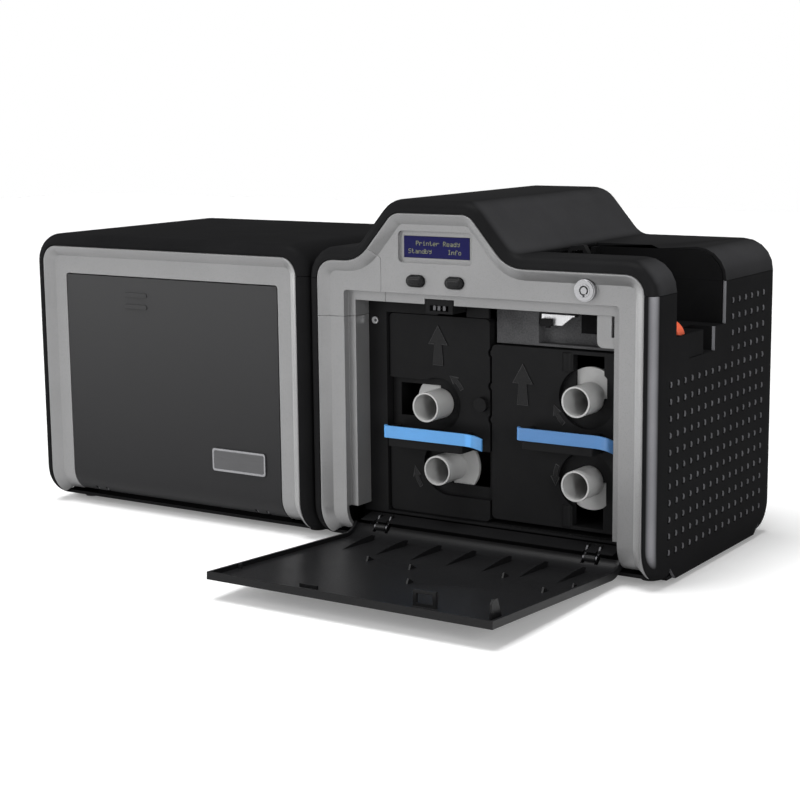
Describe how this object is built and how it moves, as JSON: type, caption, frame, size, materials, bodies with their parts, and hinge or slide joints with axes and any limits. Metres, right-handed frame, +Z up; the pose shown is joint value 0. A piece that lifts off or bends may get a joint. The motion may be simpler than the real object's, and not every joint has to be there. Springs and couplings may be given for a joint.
{
  "type": "id card printer",
  "caption": "Desktop card printer with a raised control panel, a drop-down front door over two pull-out web cartridges, a side card hopper and a laminating module on its left.",
  "frame": {"origin": "middle of the bounding box at the height of the table, with the front door standing open", "axes": "X to the right as seen from the front, Y from the front to the back, Z up from the table"},
  "size_m": [0.626, 0.4178, 0.292],
  "materials": {
    "cover_black": "satin",
    "module_black": "satin",
    "bezel_silver": "satin",
    "inner_black": "satin",
    "inner_grey": "matte",
    "foot_rubber": "matte",
    "steel": "brushed",
    "chrome": "polished",
    "lcd_blue": "gloss",
    "button_black": "gloss",
    "grip_blue": "satin",
    "grip_blue_dark": "satin",
    "core_grey": "satin",
    "ribbon_web": "gloss",
    "film_web": "gloss",
    "roller_orange": "matte",
    "roller_rubber": "matte",
    "board_green": "gloss",
    "gear_plastic": "satin",
    "pinion_brass": "satin"
  },
  "bodies": {
    "housing": {"base_pan": "cover_black", "rubber_feet": "foot_rubber", "right_cover": "cover_black", "left_cover": "cover_black", "rear_cover": "cover_black", "top_cover": "cover_black", "bezel_panel": "bezel_silver", "bezel_trim": "bezel_silver", "hopper_liner": "inner_black", "finger_cup": "inner_black", "display_window": "lcd_blue", "lock_body": "chrome", "door_catch": "inner_black", "sill": "cover_black", "hinge_clips": "steel", "front_frame": "inner_black", "bay_panel": "inner_grey", "sensor_bracket": "steel", "sensor_clip": "inner_black", "frame_screws": "steel", "mid_plate": "steel", "drive_motor": "steel", "fan_frame": "inner_black", "power_supply": "steel", "circuit_board": "board_green", "power_inlet": "inner_black", "module_base": "module_black", "module_top_cover": "module_black", "module_left_cover": "module_black", "module_right_cover": "module_black", "module_rear_cover": "module_black", "module_bezel": "bezel_silver"},
    "front_door": {"front_door": "cover_black"},
    "module_door": {"module_door": "module_black", "name_plate": "steel"},
    "ribbon_cartridge": {"ribbon_cartridge": "inner_black", "ribbon_handle": "grip_blue"},
    "film_cartridge": {"film_cartridge": "inner_black", "film_handle": "grip_blue_dark"},
    "ribbon_supply": {"ribbon_supply_core": "core_grey", "ribbon_supply_roll": "ribbon_web"},
    "ribbon_takeup": {"ribbon_takeup_core": "core_grey", "ribbon_takeup_roll": "ribbon_web"},
    "film_supply": {"film_supply_core": "core_grey", "film_supply_roll": "film_web"},
    "film_takeup": {"film_takeup_core": "core_grey", "film_takeup_roll": "film_web"},
    "left_button": {"left_button": "button_black"},
    "right_button": {"right_button": "button_black"},
    "lock_barrel": {"lock_barrel": "chrome"},
    "hopper_lever": {"hopper_lever": "inner_black"},
    "feed_roller": {"feed_roller": "roller_orange"},
    "print_head": {"print_head": "steel"},
    "platen": {"platen_roller": "roller_rubber", "drive_gear": "gear_plastic"},
    "pinion": {"motor_pinion": "pinion_brass"},
    "fan_rotor": {"fan_rotor": "inner_black"},
    "power_switch": {"power_switch": "inner_black"},
    "heated_roller": {"heated_roller": "steel"},
    "pressure_roller": {"pressure_roller": "roller_rubber"}
  },
  "joints": [
    {"name": "front_door_hinge", "type": "hinge", "parent": "housing", "child": "front_door", "pos_m": [0.1545, -0.01009, 0.017], "axis": [1, 0, 0], "range_deg": [-87, 0]},
    {"name": "module_door_hinge", "type": "hinge", "parent": "housing", "child": "module_door", "pos_m": [-0.1585, -0.01009, 0.017], "axis": [1, 0, 0], "range_deg": [0, 87]},
    {"name": "ribbon_cartridge_slide", "type": "slide", "parent": "housing", "child": "ribbon_cartridge", "axis": [0, -1, 0], "range_m": [0, 0.19]},
    {"name": "film_cartridge_slide", "type": "slide", "parent": "housing", "child": "film_cartridge", "axis": [0, -1, 0], "range_m": [0, 0.19]},
    {"name": "ribbon_supply_spin", "type": "hinge", "parent": "ribbon_cartridge", "child": "ribbon_supply", "pos_m": [0.1015, 0.00791, 0.123], "axis": [0, 1, 0], "continuous": true},
    {"name": "ribbon_takeup_spin", "type": "hinge", "parent": "ribbon_cartridge", "child": "ribbon_takeup", "pos_m": [0.1122, 0.00791, 0.0715], "axis": [0, 1, 0], "continuous": true},
    {"name": "film_supply_spin", "type": "hinge", "parent": "film_cartridge", "child": "film_supply", "pos_m": [0.2382, 0.00791, 0.139], "axis": [0, 1, 0], "continuous": true},
    {"name": "film_takeup_spin", "type": "hinge", "parent": "film_cartridge", "child": "film_takeup", "pos_m": [0.2382, 0.00791, 0.0726], "axis": [0, 1, 0], "continuous": true},
    {"name": "left_button_press", "type": "slide", "parent": "housing", "child": "left_button", "axis": [0, 1, 0], "range_m": [0, 0.0012], "stiffness_N_per_m": 150, "springref_m": -0.001},
    {"name": "right_button_press", "type": "slide", "parent": "housing", "child": "right_button", "axis": [0, 1, 0], "range_m": [0, 0.0012], "stiffness_N_per_m": 150, "springref_m": -0.001},
    {"name": "lock_turn", "type": "hinge", "parent": "housing", "child": "lock_barrel", "pos_m": [0.2524, -0.02209, 0.2276], "axis": [0, 1, 0], "range_deg": [0, 90]},
    {"name": "hopper_lever_pivot", "type": "hinge", "parent": "housing", "child": "hopper_lever", "pos_m": [0.205, 0.03691, 0.233], "axis": [0, 1, 0], "range_deg": [-20, 0]},
    {"name": "feed_roller_spin", "type": "hinge", "parent": "housing", "child": "feed_roller", "pos_m": [0.2945, 0.02791, 0.1884], "axis": [0, 1, 0], "continuous": true},
    {"name": "print_head_pivot", "type": "hinge", "parent": "housing", "child": "print_head", "pos_m": [0.13, 0.08291, 0.24], "axis": [0, 1, 0], "range_deg": [-20, 0]},
    {"name": "platen_spin", "type": "hinge", "parent": "housing", "child": "platen", "pos_m": [0.172, 0.08291, 0.213], "axis": [0, 1, 0], "continuous": true},
    {"name": "pinion_spin", "type": "hinge", "parent": "housing", "child": "pinion", "pos_m": [0.144, 0.14291, 0.213], "axis": [0, 1, 0], "continuous": true},
    {"name": "fan_spin", "type": "hinge", "parent": "housing", "child": "fan_rotor", "pos_m": [0.246, 0.19791, 0.09], "axis": [0, 1, 0], "continuous": true},
    {"name": "power_switch_rock", "type": "hinge", "parent": "housing", "child": "power_switch", "pos_m": [0.077, 0.19731, 0.044], "axis": [1, 0, 0], "range_deg": [0, 12]},
    {"name": "heated_roller_spin", "type": "hinge", "parent": "housing", "child": "heated_roller", "pos_m": [-0.12389, 0.08291, 0.19001], "axis": [0, 1, 0], "continuous": true},
    {"name": "pressure_roller_spin", "type": "hinge", "parent": "housing", "child": "pressure_roller", "pos_m": [-0.12389, 0.08291, 0.16141], "axis": [0, 1, 0], "continuous": true}
  ],
  "couplings": [
    {"joint": "pinion_spin", "follows": "platen_spin", "ratio": -2.5},
    {"joint": "pressure_roller_spin", "follows": "heated_roller_spin", "ratio": -1}
  ]
}
